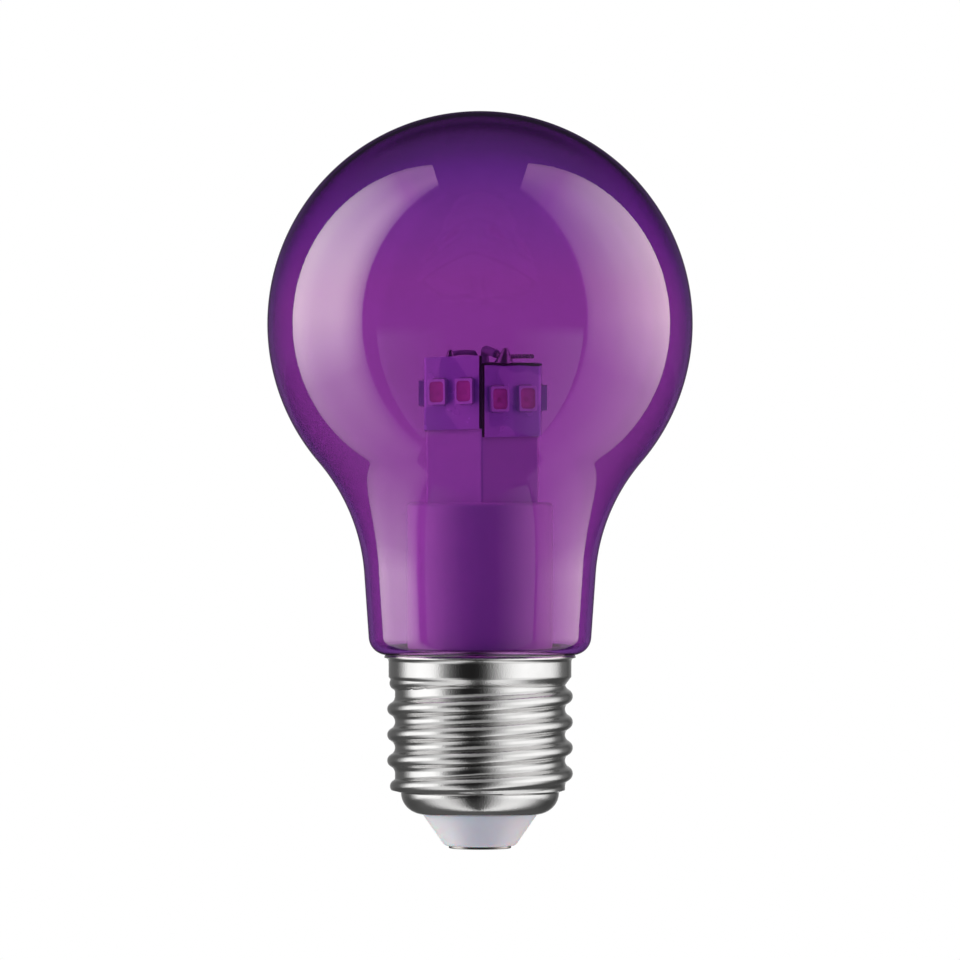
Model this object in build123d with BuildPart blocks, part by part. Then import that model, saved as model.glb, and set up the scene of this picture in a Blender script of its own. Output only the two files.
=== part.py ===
"""A violet led bulb: a clear tinted glass globe on an E27 screw cap.

Millimetres, +Z up along the bulb's axis, origin at the centre of the bottom contact's lower face.
The -Y side is the front, where the circuit strip's two ends meet on an edge of the six-sided post.
"""

from build123d import *
import math
import os

# Screw cap
thread_crest_diameter = 26.2
thread_pitch = 3.629
thread_depth = 1.096
thread_turns = 5
thread_start_drop = 1.3
cap_wall = 0.3
cup_corner_radius = 3.05
cup_step = 0.85
cup_step_slope = 0.35
collar_step = 0.2
collar_length = 3.06
collar_slope_length = 1.2
rim_flare = 0.6
rim_lip_height = 0.35

# Cap insulator and centre contact
cone_height = 4.45
cone_inset = 3.1
cone_edge_radius = 0.8
insulator_flange_radius_gap = 1.0
insulator_flange_height = 2.15
insulator_spigot_height = 1.0
contact_height = 0.35
contact_inset = 0.6
contact_edge_radius = 0.12
rivet_diameter = 2.4
rivet_stand = 1.6

# Glass bulb
globe_diameter = 60.0
glass_wall = 0.7
neck_overhang = 2.82
neck_taper = 4.0
neck_length = 8.86
neck_corner_radius = 2.65
shoulder_radius = 27.0
glass_collar_length = 2.5
glass_collar_clearance = 0.3

# Driver housing and the cement round it
housing_clearance = 1.45
housing_wall = 1.0
housing_roof = 2.0
housing_rise = 21.7
housing_edge_radius = 0.6
board_rail_depth = 1.0
board_rail_width = 0.9
cement_height = 2.7

# Post and circuit strip
post_across_flats = 15.6
post_height = 18.7
post_roof = 1.5
post_edge_radius = 0.4
post_spigot_diameter = 13.2
post_spigot_length = 3.5
post_spigot_wall = 1.2
wire_hole_diameter = 4.8
column_turn = -1.2
column_offset = 0.45
facet_count = 6
strip_thickness = 0.3
strip_height = 10.2
strip_stand = 0.6
strip_end_trim = 0.26
tape_thickness = 0.1
tape_end_trim = 0.05
strip_bend_radius = 0.6
strip_rise_per_facet = 0.2

# Leds
led_width = 2.8
led_height = 3.5
led_thickness = 0.8
led_corner_radius = 0.2
led_spacing = 4.43
led_lift = 0.2
window_width = 2.25
window_height = 2.9
window_radius = 0.55
window_depth = 0.45
solder_width = 1.9
solder_foot = 0.22
solder_rise = 0.4

# Driver board and the pieces on it
board_width_gap = 0.4
board_height = 24.0
board_thickness = 1.0
board_top_gap = 4.5
capacitor_side_gap = 1.2
capacitor_bore_gap = 0.39
capacitor_height = 11.0
leg_bend = 1.5
chip_edge_gap = 1.75
chip_width = 4.9
chip_height = 3.9
chip_thickness = 1.5
chip_leg_width = 0.4
chip_leg_reach = 1.0
chip_leg_thickness = 0.2
rectifier_width = 4.7
rectifier_legs_per_side = 2
driver_legs_per_side = 4
rectifier_thickness = 1.6
resistor_length = 2.0
resistor_width = 1.25
resistor_thickness = 0.55
fuse_diameter = 2.4
fuse_length = 6.5

# Solder pads folded in from the strip
tongue_width = 3.2
tongue_depth = 3.0
plus_pad_along = -0.2
minus_pad_along = -1.4

# Wires
wire_exit_drop = 5.5
wire_hole_gap = 0.2
wire_tail = 0.8
wire_bend = 0.9
lead_hole_drop = 2.0
lead_spread = 1.3
lead_arch_height = 2.0
bare_wire_diameter = 0.6
lead_diameter = 1.2
thin_lead_diameter = 0.7
fit_clearance = 0.05
seat_clearance = 0.02
solder_cone_radius = 1.45
solder_cone_height = 2.2
solder_cone_lean = 0.4
solder_tip_radius = 0.3
solder_bump_radius = 0.6
solder_bump_height = 1.0
solder_tail_length = 4.2
board_solder_reach = 0.4
board_solder_height = 0.5

# Radii and levels worked out from the sizes above
crest_radius = thread_crest_diameter / 2
root_radius = crest_radius - thread_depth
thread_arc_angle = 2 * math.atan(2 * thread_depth / thread_pitch)
thread_arc_radius = thread_pitch / (4 * math.sin(thread_arc_angle))
collar_radius = crest_radius - collar_step
cup_radius = root_radius - cup_step
mouth_radius = cup_radius - cup_corner_radius

cap_bottom_z = contact_height + cone_height
zone_bottom_z = cap_bottom_z + cup_corner_radius + cup_step_slope
ridge_start_z = zone_bottom_z - thread_start_drop
collar_bottom_z = ridge_start_z + (thread_turns - 0.25) * thread_pitch
rim_z = collar_bottom_z + collar_length

insulator_top_z = cap_bottom_z + cap_wall + fit_clearance + insulator_flange_height
shell_bore_radius = root_radius - cap_wall
housing_radius = shell_bore_radius - housing_clearance
housing_bore_radius = housing_radius - housing_wall
housing_top_z = rim_z + housing_rise
post_top_z = housing_top_z + post_height
rivet_radius = rivet_diameter / 2

half_facet_angle = math.pi / facet_count
post_flat_radius = post_across_flats / 2
strip_inner_radius = post_flat_radius + tape_thickness
strip_outer_radius = strip_inner_radius + strip_thickness
first_facet_angle = math.radians(column_turn) - math.pi / 2 + half_facet_angle
post_rotation = math.degrees(first_facet_angle + half_facet_angle)
first_facet_z = post_top_z + strip_stand - strip_height / 2

board_top_z = housing_top_z - housing_roof - board_top_gap
board_bottom_z = board_top_z - board_height
board_half_width = housing_bore_radius - board_width_gap
board_face_y = board_thickness / 2

os.makedirs("parts", exist_ok=True)


def save(piece, name):
    """Label a finished piece and write its file."""
    piece.part.label = name
    export_step(piece.part, f"parts/{name}.step")


def on_circle(centre, radius, angle):
    """The point at an angle in radians on a circle, in a flat outline."""
    return (centre[0] + radius * math.cos(angle), centre[1] + radius * math.sin(angle))


def wire_along(points, diameter):
    """A round wire along a route of straight runs joined by bends as wide as the runs leave room for."""
    route = [Vector(*point) for point in points]
    radii = []
    for before, corner, after in zip(route, route[1:], route[2:]):
        turn = math.radians((corner - before).get_angle(after - corner))
        shorter = min((corner - before).length, (after - corner).length)
        radii.append(min(wire_bend, 0.45 * shorter / math.tan(turn / 2)))
    with BuildPart() as wire:
        with BuildLine() as path:
            FilletPolyline(*points, radius=radii)
        with BuildSketch(Plane(origin=path.line @ 0, z_dir=path.line % 0)):
            Circle(diameter / 2)
        sweep()
    return wire


# Screw cap: rolled sheet with a rounded helical thread, collar, flared rim and drawn-in cup
sections_per_turn = 12
ridge_embed = 0.6
root_cover = 0.06
ridge_foot_lift = 0.03


def cap_face(inset):
    """Half section of the cap's form without its thread, taken inwards by inset."""
    lip_radius = collar_radius + rim_flare
    corner_centre = (mouth_radius, cap_bottom_z + cup_corner_radius)
    zone_radius = root_radius + root_cover
    with BuildSketch(Plane.XZ) as face:
        with BuildLine():
            bottom = (mouth_radius, cap_bottom_z + inset)
            cup_side = (cup_radius - inset, corner_centre[1])
            corner_middle = on_circle(corner_centre, cup_corner_radius - inset, -math.pi / 4)
            Line((0, cap_bottom_z + inset), bottom)
            ThreePointArc(bottom, corner_middle, cup_side)
            Polyline(
                cup_side,
                (zone_radius - inset, zone_bottom_z),
                (zone_radius - inset, collar_bottom_z - collar_slope_length),
                (collar_radius - inset, collar_bottom_z),
                (collar_radius - inset, rim_z - rim_lip_height - rim_flare),
                (lip_radius - inset, rim_z - rim_lip_height),
                (lip_radius - inset, rim_z),
                (0, rim_z),
                (0, cap_bottom_z + inset),
            )
        make_face()
    return face.sketch


def ridge_face(turn, inset, share):
    """Section of the thread ridge at a turn, with a convex crest arc and concave root arcs."""
    crest_arc = thread_arc_radius - inset
    root_arc = thread_arc_radius + inset
    drop = (1 - share) * thread_depth
    crest_centre = (crest_radius - thread_arc_radius - drop, 0)
    root_centre = (root_radius + thread_arc_radius - drop, thread_pitch / 2)
    foot_angle = math.acos(1 - ridge_foot_lift / root_arc)
    middle_angle = (thread_arc_angle + foot_angle) / 2
    flank = on_circle(crest_centre, crest_arc, thread_arc_angle)
    foot = on_circle(root_centre, root_arc, math.pi + foot_angle)
    middle = on_circle(root_centre, root_arc, math.pi + middle_angle)
    back = root_radius - inset - ridge_embed - drop
    angle = 2 * math.pi * turn
    plane = Plane(
        origin=(0, 0, ridge_start_z + thread_pitch * turn),
        x_dir=(math.cos(angle), math.sin(angle), 0),
        z_dir=(math.sin(angle), -math.cos(angle), 0),
    )
    with BuildSketch(plane) as face:
        with BuildLine():
            ThreePointArc((flank[0], -flank[1]), (crest_centre[0] + crest_arc, 0), flank)
            ThreePointArc(flank, middle, foot)
            Polyline(foot, (back, foot[1]), (back, -foot[1]), (foot[0], -foot[1]))
            ThreePointArc((foot[0], -foot[1]), (middle[0], -middle[1]), (flank[0], -flank[1]))
        make_face()
    return face.sketch.face()


def ridge_share(turn):
    """How full the ridge stands: it fades in at the cup and out under the collar."""
    fade_in = 0.05 + turn / 0.85
    fade_out = 0.15 + (thread_turns - turn) / 0.9
    return min(1.0, fade_in, fade_out)


def cap_form(inset):
    """The whole cap form with its thread, taken inwards by inset."""
    steps = round(thread_turns * sections_per_turn)
    turns = [step / sections_per_turn for step in range(steps + 1)]
    zone_height = rim_z - rim_lip_height - rim_flare - zone_bottom_z - inset
    with BuildPart() as ridge:
        loft([ridge_face(turn, inset, ridge_share(turn)) for turn in turns])
        with BuildSketch(Plane.XY.offset(zone_bottom_z + inset)):
            Circle(crest_radius + thread_depth)
        extrude(amount=zone_height, mode=Mode.INTERSECT)
    with BuildPart() as form:
        revolve(cap_face(inset), axis=Axis.Z)
        add(ridge.part)
    return form


with BuildPart() as screw_shell:
    add(cap_form(0).part)
    add(cap_form(cap_wall).part, mode=Mode.SUBTRACT)
    with BuildSketch(Plane.XY.offset(cap_bottom_z)):
        Circle(mouth_radius)
    extrude(amount=cap_wall, mode=Mode.SUBTRACT)
save(screw_shell, "screw_shell")

# Insulator: a cone below the shell's mouth, a neck through it and a flange inside
neck_radius = mouth_radius - fit_clearance
cone_base_radius = mouth_radius - cone_inset
flange_radius = cup_radius - cap_wall - insulator_flange_radius_gap
flange_bottom_z = cap_bottom_z + cap_wall + fit_clearance
spigot_radius = housing_bore_radius - fit_clearance
flange_slope = flange_radius - neck_radius

with BuildPart() as insulator:
    with BuildSketch(Plane.XZ):
        with BuildLine():
            Polyline(
                (0, contact_height),
                (cone_base_radius, contact_height),
                (mouth_radius, cap_bottom_z),
                (neck_radius, cap_bottom_z),
                (neck_radius, flange_bottom_z),
                (flange_radius, flange_bottom_z + flange_slope),
                (flange_radius, insulator_top_z),
                (spigot_radius, insulator_top_z),
                (spigot_radius, insulator_top_z + insulator_spigot_height),
                (0, insulator_top_z + insulator_spigot_height),
                (0, contact_height),
            )
        face = make_face()
        cone_edge = face.vertices().filter_by_position(Axis.X, cone_base_radius - 0.01, cone_base_radius + 0.01)
        fillet(cone_edge.sort_by(Axis.Y)[0], radius=cone_edge_radius)
    revolve(axis=Axis.Z)
    with BuildSketch(Plane.XY.offset(contact_height)):
        Circle(rivet_radius + seat_clearance)
    extrude(amount=insulator_top_z + insulator_spigot_height, mode=Mode.SUBTRACT)
save(insulator, "insulator")

# Centre contact: a disc with a rivet stem through the insulator
contact_radius = cone_base_radius - contact_inset
rivet_top_z = insulator_top_z + insulator_spigot_height + rivet_stand

with BuildPart() as centre_contact:
    Cylinder(contact_radius, contact_height, align=(Align.CENTER, Align.CENTER, Align.MIN))
    fillet(centre_contact.edges().group_by(Axis.Z)[0], radius=contact_edge_radius)
    Cylinder(rivet_radius, rivet_top_z, align=(Align.CENTER, Align.CENTER, Align.MIN))
save(centre_contact, "centre_contact")

# Glass bulb: round head, concave shoulder arc, tapered neck, tucked-in foot and open collar
globe_radius = globe_diameter / 2
taper = math.radians(neck_taper)
neck_foot = (collar_radius + neck_overhang, rim_z + neck_corner_radius)
corner_centre = (neck_foot[0] - neck_corner_radius / math.cos(taper), neck_foot[1])
shoulder_centre = (
    neck_foot[0] + shoulder_radius * math.cos(taper) + neck_length * math.sin(taper),
    neck_foot[1] - shoulder_radius * math.sin(taper) + neck_length * math.cos(taper),
)
centre_distance = globe_radius + shoulder_radius
globe_rise = math.sqrt(centre_distance**2 - shoulder_centre[0] ** 2)
globe_centre = (0, shoulder_centre[1] + globe_rise)
join_angle = -math.atan2(globe_rise, shoulder_centre[0])
glass_collar_radius = collar_radius - cap_wall - glass_collar_clearance
glass_foot_z = rim_z - glass_collar_length


def glass_face(inset):
    """Half section inside the glass outline taken inwards by inset."""
    head = globe_radius - inset
    shoulder = shoulder_radius + inset
    corner = neck_corner_radius - inset
    top = (0, globe_centre[1] + head)
    join = on_circle(globe_centre, head, join_angle)
    neck_top = on_circle(shoulder_centre, shoulder, math.pi - taper)
    neck_bottom = on_circle(corner_centre, corner, -taper)
    foot = (corner_centre[0], rim_z + inset)
    collar = glass_collar_radius - inset
    with BuildSketch(Plane.XZ) as face:
        with BuildLine():
            head_middle = on_circle(globe_centre, head, (math.pi / 2 + join_angle) / 2)
            shoulder_angle = math.pi + (join_angle - taper) / 2
            corner_angle = -(taper + math.pi / 2) / 2
            ThreePointArc(top, head_middle, join)
            ThreePointArc(join, on_circle(shoulder_centre, shoulder, shoulder_angle), neck_top)
            Line(neck_top, neck_bottom)
            ThreePointArc(neck_bottom, on_circle(corner_centre, corner, corner_angle), foot)
            Polyline(foot, (collar, rim_z + inset), (collar, glass_foot_z), (0, glass_foot_z), top)
        make_face()
    return face.sketch


with BuildPart() as glass_bulb:
    with BuildSketch(Plane.XZ):
        add(glass_face(0))
        add(glass_face(glass_wall), mode=Mode.SUBTRACT)
    revolve(axis=Axis.Z)
save(glass_bulb, "glass_bulb")

# Cement: a ring round the housing that the glass foot sits on
cement_bore_radius = housing_radius + fit_clearance
cement_radius = shell_bore_radius - fit_clearance
cement_top_radius = glass_collar_radius - glass_wall - fit_clearance

with BuildPart() as cement_ring:
    with BuildSketch(Plane.XZ):
        with BuildLine():
            Polyline(
                (cement_bore_radius, glass_foot_z - cement_height),
                (cement_radius, glass_foot_z - cement_height),
                (cement_radius, collar_bottom_z + fit_clearance),
                (glass_collar_radius, collar_bottom_z + fit_clearance),
                (glass_collar_radius, glass_foot_z),
                (cement_top_radius, glass_foot_z),
                (cement_top_radius, glass_foot_z + glass_collar_length / 2),
                (cement_bore_radius, glass_foot_z + glass_collar_length / 2),
                (cement_bore_radius, glass_foot_z - cement_height),
            )
        make_face()
    revolve(axis=Axis.Z)
save(cement_ring, "cement_ring")

# Driver housing: a sleeve with a roof, two pairs of rails for the board and a hole for one wire
roof_bore_radius = post_spigot_diameter / 2 + fit_clearance
rail_bottom_z = insulator_top_z + insulator_spigot_height + board_rail_depth
rail_middle_x = housing_bore_radius - board_rail_depth / 2 + housing_wall / 4
rail_length_x = board_rail_depth + housing_wall / 2
rail_middle_y = board_face_y + fit_clearance + board_rail_width / 2
wire_exit_z = board_bottom_z - wire_exit_drop
return_wire_x = -housing_bore_radius / 5

with BuildPart() as driver_housing:
    with BuildSketch(Plane.XY.offset(insulator_top_z)):
        Circle(housing_radius)
    extrude(amount=housing_top_z - insulator_top_z)
    fillet(driver_housing.edges().group_by(Axis.Z)[-1], radius=housing_edge_radius)
    with BuildSketch(Plane.XY.offset(insulator_top_z)):
        Circle(housing_bore_radius)
    extrude(amount=housing_top_z - housing_roof - insulator_top_z, mode=Mode.SUBTRACT)
    with BuildSketch(Plane.XY.offset(housing_top_z - housing_roof)):
        with Locations((column_offset, 0)):
            Circle(roof_bore_radius)
    extrude(amount=housing_roof, mode=Mode.SUBTRACT)
    with BuildSketch(Plane.XY.offset(rail_bottom_z)):
        for x in (-rail_middle_x, rail_middle_x):
            for y in (-rail_middle_y, rail_middle_y):
                with Locations((x, y)):
                    Rectangle(rail_length_x, board_rail_width)
    extrude(amount=board_top_z - rail_bottom_z)
    with BuildSketch(Plane.XY.offset(board_top_z)):
        with Locations((-rail_middle_x, 0), (rail_middle_x, 0)):
            Rectangle(rail_length_x, 2 * rail_middle_y + board_rail_width)
    extrude(amount=board_rail_width)
    with BuildSketch(Plane.XZ.offset(-housing_radius)):
        with Locations((return_wire_x, wire_exit_z)):
            Circle(bare_wire_diameter / 2 + wire_hole_gap)
    extrude(amount=3 * housing_wall, mode=Mode.SUBTRACT)
save(driver_housing, "driver_housing")

# Post: a hollow six-sided moulding with a spigot in the housing's roof, a little to the right of the bulb's axis
column_foot = Vector(column_offset, 0, 0)
post_corner_radius = post_flat_radius / math.cos(half_facet_angle)
post_bore_radius = post_spigot_diameter / 2 - post_spigot_wall

with BuildPart() as led_post:
    with BuildSketch(Plane(column_foot).offset(housing_top_z)):
        RegularPolygon(post_corner_radius, facet_count, rotation=post_rotation)
    extrude(amount=post_height)
    fillet(led_post.edges().filter_by(Axis.Z), radius=post_edge_radius)
    with BuildSketch(Plane(column_foot).offset(housing_top_z)):
        Circle(post_spigot_diameter / 2)
    extrude(amount=-post_spigot_length)
    with BuildSketch(Plane(column_foot).offset(housing_top_z - post_spigot_length)):
        Circle(post_bore_radius)
    extrude(amount=post_spigot_length + post_height - post_roof, mode=Mode.SUBTRACT)
    with BuildSketch(Plane(column_foot).offset(post_top_z - post_roof)):
        Circle(wire_hole_diameter / 2)
    extrude(amount=post_roof, mode=Mode.SUBTRACT)
save(led_post, "led_post")


def hexagon_bar(flat_radius, bend):
    """An upright six-sided bar, as high as the glass, with rounded edges."""
    with BuildPart() as bar:
        with BuildSketch(Plane(column_foot).offset(housing_top_z)):
            RegularPolygon(flat_radius / math.cos(half_facet_angle), facet_count, rotation=post_rotation)
        extrude(amount=globe_diameter)
        fillet(bar.edges().filter_by(Axis.Z), radius=bend)
    return bar


def climbing_ring(inner, outer, height, end_along):
    """A sharp-edged ring of six flat sides, each a little higher than the one before, open at the front."""
    sections = []
    for corner in range(facet_count + 1):
        middle_z = first_facet_z + strip_rise_per_facet * (corner - 0.5)
        if corner in (0, facet_count):
            angle = first_facet_angle + 2 * half_facet_angle * max(0, corner - 1)
            along = end_along * (-1 if corner == 0 else 1)
            stretch = 1
        else:
            angle = first_facet_angle + half_facet_angle * (2 * corner - 1)
            along = 0
            stretch = 1 / math.cos(half_facet_angle)
        out = Vector(math.cos(angle), math.sin(angle), 0)
        start = column_foot + out * inner * stretch + Vector(-out.Y, out.X, 0) * along + Vector(0, 0, middle_z)
        width = (outer - inner) * stretch
        with BuildSketch(Plane(origin=start, x_dir=out, z_dir=(-out.Y, out.X, 0))) as section:
            with Locations((width / 2, 0)):
                Rectangle(width, height)
        sections.append(section.sketch.face())
    with BuildPart() as ring:
        loft(sections, ruled=True)
    return ring


def bent_band(inner, height, thickness, end_trim, outer_bend, inner_bend):
    """A flat band bent round the post's six sides, climbing from its start to its end."""
    end_along = inner * math.tan(half_facet_angle) - end_trim
    reach = strip_bend_radius + 2 * strip_thickness
    with BuildPart() as band:
        add(hexagon_bar(inner + thickness, outer_bend).part)
        add(hexagon_bar(inner, inner_bend).part, mode=Mode.SUBTRACT)
        add(climbing_ring(inner - reach, inner + thickness + reach, height, end_along).part, mode=Mode.INTERSECT)
    return band


def facet_plane(facet, distance):
    """A plane on a side of the post, x along the tilted band and z outwards, at a distance from the axis."""
    angle = first_facet_angle + 2 * half_facet_angle * facet
    out = Vector(math.cos(angle), math.sin(angle), 0)
    origin = column_foot + out * distance + Vector(0, 0, first_facet_z + strip_rise_per_facet * facet)
    facet_width = 2 * strip_outer_radius * math.tan(half_facet_angle)
    along = Vector(-out.Y, out.X, strip_rise_per_facet / facet_width)
    return Plane(origin=origin, x_dir=along, z_dir=out)


def tongue_box(facet, along, grow):
    """A pad folded inwards from the band's top edge, for a wire to be soldered on."""
    plane = facet_plane(facet, strip_inner_radius + strip_thickness / 2)
    with BuildPart() as box:
        with Locations(plane * Location((along, strip_height / 2 - strip_thickness / 2, -tongue_depth / 2))):
            Box(tongue_width + 2 * grow, strip_thickness + 2 * grow, tongue_depth + 2 * grow)
    return box


# Tape and circuit strip round the post, with two solder pads folded in from the strip's top edge
last_facet = facet_count - 1

with BuildPart() as circuit_strip:
    strip_bends = (strip_bend_radius, strip_bend_radius - strip_thickness)
    add(bent_band(strip_inner_radius, strip_height, strip_thickness, strip_end_trim, *strip_bends).part)
    add(tongue_box(0, plus_pad_along, 0).part)
    add(tongue_box(last_facet, minus_pad_along, 0).part)
save(circuit_strip, "circuit_strip")

with BuildPart() as strip_tape:
    tape_height = strip_height - 2 * fit_clearance
    tape_bend = post_edge_radius - fit_clearance
    tape_bends = (tape_bend + tape_thickness, tape_bend)
    add(bent_band(post_flat_radius, tape_height, tape_thickness, tape_end_trim, *tape_bends).part)
    add(tongue_box(0, plus_pad_along, fit_clearance).part, mode=Mode.SUBTRACT)
    add(tongue_box(last_facet, minus_pad_along, fit_clearance).part, mode=Mode.SUBTRACT)
save(strip_tape, "strip_tape")

# Leds: two on each side, each a moulded package with a window filled with clear resin
leds_per_facet = 2
with BuildPart() as led_solder:
    for facet in range(facet_count):
        for place in range(leds_per_facet):
            along = (place - (leds_per_facet - 1) / 2) * led_spacing
            for end in (-1, 1):
                side_plane = facet_plane(facet, strip_outer_radius) * Location((along, led_lift, 0))
                with BuildSketch(side_plane * Location((-solder_width / 2, 0, 0), (0, 90, 0))):
                    with BuildLine():
                        edge = end * led_height / 2
                        toe = end * (led_height / 2 + solder_foot)
                        Polyline((0, edge), (0, toe), (-solder_rise, edge), (0, edge))
                    make_face()
                extrude(amount=solder_width)
save(led_solder, "led_solder")

for facet in range(facet_count):
    for place in range(leds_per_facet):
        number = facet * leds_per_facet + place + 1
        along = (place - (leds_per_facet - 1) / 2) * led_spacing
        led_plane = facet_plane(facet, strip_outer_radius) * Location((along, led_lift, 0))
        window_plane = led_plane * Location((0, 0, led_thickness - window_depth))
        with BuildPart() as led_package:
            with BuildSketch(led_plane):
                RectangleRounded(led_width, led_height, led_corner_radius)
            extrude(amount=led_thickness)
            with BuildSketch(window_plane):
                RectangleRounded(window_width, window_height, window_radius)
            extrude(amount=window_depth, mode=Mode.SUBTRACT)
        save(led_package, f"led_package_{number:02d}")
        with BuildPart() as led_window:
            with BuildSketch(window_plane):
                RectangleRounded(
                    window_width - 2 * seat_clearance,
                    window_height - 2 * seat_clearance,
                    window_radius - seat_clearance,
                )
            extrude(amount=window_depth - seat_clearance)
        save(led_window, f"led_window_{number:02d}")

# Where the leads go: through the board's top, up the post and over to the strip's two pads
def pad_plane(facet, along):
    """A plane on the top of a folded solder pad, x along the strip and z up."""
    side = facet_plane(facet, strip_inner_radius - tongue_depth / 2)
    return Plane(origin=side.from_local_coords((along, strip_height / 2, 0)), x_dir=side.x_dir, z_dir=side.y_dir)


plus_pad = pad_plane(0, plus_pad_along)
minus_pad = pad_plane(last_facet, minus_pad_along)
lead_hole_z = board_top_z - lead_hole_drop
minus_hole_z = lead_hole_z - lead_diameter / 2 - 2.5 * board_solder_reach
tail_y = -board_face_y - wire_tail
plus_lead_x = column_offset + 0.2 * lead_spread
minus_lead_x = plus_lead_x - lead_spread
lead_y = board_face_y + wire_bend + fit_clearance
arch_z = plus_pad.origin.Z + lead_arch_height
minus_arch_z = arch_z - thin_lead_diameter / 2

plus_end = plus_pad.origin + Vector(-0.67, 1, 0.97) * solder_cone_radius
joint_point = plus_pad.origin + Vector(0, 0, 0.45) * solder_cone_height
core_end = plus_pad.origin + Vector(1, 0.38, 0.26) * solder_tail_length
minus_bend = minus_pad.origin + Vector(3, 3.6, 1.2) * solder_bump_radius
minus_end = minus_pad.origin + Vector(0.15, 0.25, 0.75) * solder_bump_radius
into_joint = (joint_point - plus_end).normalized()
arch_corner = plus_end - into_joint * ((arch_z - plus_end.Z) / -into_joint.Z)
plus_route = [
    (plus_lead_x, tail_y, lead_hole_z),
    (plus_lead_x, lead_y, lead_hole_z),
    (plus_lead_x, lead_y, arch_z),
    tuple(arch_corner),
    tuple(plus_end),
]
plus_core_route = [tuple(plus_end), tuple(joint_point), tuple(core_end)]
minus_route = [
    (minus_lead_x, tail_y, minus_hole_z),
    (minus_lead_x, lead_y, minus_hole_z),
    (minus_lead_x, lead_y, minus_arch_z),
    tuple(minus_bend),
    tuple(minus_end),
]

plus_lead = wire_along(plus_route, lead_diameter)
plus_core = wire_along(plus_core_route, bare_wire_diameter)
minus_lead = wire_along(minus_route, thin_lead_diameter)
save(plus_lead, "plus_lead")
save(plus_core, "plus_core")
save(minus_lead, "minus_lead")


def solder_cone(plane, bottom_radius, top_radius, height, lean, wire_route, wire_diameter):
    """A cone of solder on a pad, its tip leaning along the strip, with the wire's way left out of it."""
    with BuildPart() as cone:
        with BuildSketch(plane):
            Circle(bottom_radius)
        with BuildSketch(plane.offset(height)):
            with Locations((lean, 0)):
                Circle(top_radius)
        loft()
        tip = cone.faces().sort_by(Axis.Z)[-1]
        fillet(tip.edges(), radius=0.6 * top_radius)
        add(wire_along(wire_route, wire_diameter + 2 * seat_clearance).part, mode=Mode.SUBTRACT)
    return cone


plus_joint = solder_cone(
    plus_pad, solder_cone_radius, solder_tip_radius, solder_cone_height, solder_cone_lean,
    plus_core_route, bare_wire_diameter,
)
minus_joint = solder_cone(
    minus_pad, solder_bump_radius, solder_tip_radius, solder_bump_height, 0, minus_route, thin_lead_diameter
)
save(plus_joint, "plus_joint")
save(minus_joint, "minus_joint")

# The capacitor fills the room between the board's front face and the housing's bore, less a gap on each side
capacitor_reach = housing_bore_radius - capacitor_bore_gap
capacitor_clear_y = board_face_y + fit_clearance
capacitor_room = capacitor_side_gap + capacitor_clear_y + capacitor_reach
capacitor_corner = capacitor_side_gap**2 + capacitor_clear_y**2
capacitor_radius = math.sqrt(capacitor_room**2 + capacitor_reach**2 - capacitor_corner) - capacitor_room

# Wires from the board down to the centre contact and out to the screw shell
bare_y = board_face_y + wire_bend + fit_clearance
live_x = capacitor_radius / 2
live_hole_z = board_bottom_z + lead_hole_drop
return_reach = shell_bore_radius - fit_clearance - bare_wire_diameter / 2
return_y = math.sqrt(return_reach**2 - return_wire_x**2)
return_end_z = glass_foot_z - cement_height - wire_tail
live_route = [
    (live_x, tail_y, live_hole_z),
    (live_x, bare_y, live_hole_z),
    (live_x, bare_y, board_bottom_z - 2 * wire_bend),
    (0, 0, rivet_top_z + 2 * wire_bend),
    (0, 0, rivet_top_z),
]
return_route = [
    (return_wire_x, tail_y, live_hole_z),
    (return_wire_x, 2 * wire_bend + board_face_y, live_hole_z),
    (return_wire_x, 2 * wire_bend + board_face_y, wire_exit_z),
    (return_wire_x, return_y, wire_exit_z),
    (return_wire_x, return_y, return_end_z),
]
save(wire_along(live_route, bare_wire_diameter), "live_wire")
save(wire_along(return_route, bare_wire_diameter), "return_wire")

# Driver board in the housing's rails, and the pieces on it
capacitor_x = capacitor_side_gap + capacitor_radius
capacitor_y = capacitor_clear_y + capacitor_radius
capacitor_bottom_z = board_bottom_z + board_height * 0.38
capacitor_leg_x = 0.4 * capacitor_radius
fuse_x = -capacitor_x
fuse_y = board_face_y + fit_clearance + fuse_diameter / 2
fuse_z = capacitor_bottom_z - fuse_length / 6

capacitor_legs = []
for side in (-1, 1):
    leg_x = capacitor_x + side * capacitor_leg_x
    leg_top = capacitor_bottom_z + leg_bend
    leg_z = capacitor_bottom_z - leg_bend
    capacitor_legs.append([(leg_x, capacitor_y, leg_top), (leg_x, capacitor_y, leg_z), (leg_x, tail_y, leg_z)])

fuse_legs = []
for end in (-1, 1):
    leg_z = fuse_z + end * (fuse_length / 2 + leg_bend)
    fuse_legs.append([(fuse_x, fuse_y, fuse_z), (fuse_x, fuse_y, leg_z), (fuse_x, tail_y, leg_z)])

board_holes = [
    (plus_lead_x, lead_hole_z, lead_diameter),
    (minus_lead_x, minus_hole_z, thin_lead_diameter),
    (live_x, live_hole_z, bare_wire_diameter),
    (return_wire_x, live_hole_z, bare_wire_diameter),
]
board_holes += [(leg[-1][0], leg[-1][2], bare_wire_diameter) for leg in capacitor_legs + fuse_legs]

with BuildPart() as driver_board:
    with Locations((0, 0, board_bottom_z + board_height / 2)):
        Box(2 * board_half_width, board_thickness, board_height)
    for x, z, diameter in board_holes:
        with BuildSketch(Plane.XZ.offset(-board_face_y)):
            with Locations((x, z)):
                Circle(diameter / 2 + fit_clearance)
        extrude(amount=board_thickness, mode=Mode.SUBTRACT)
save(driver_board, "driver_board")

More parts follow.
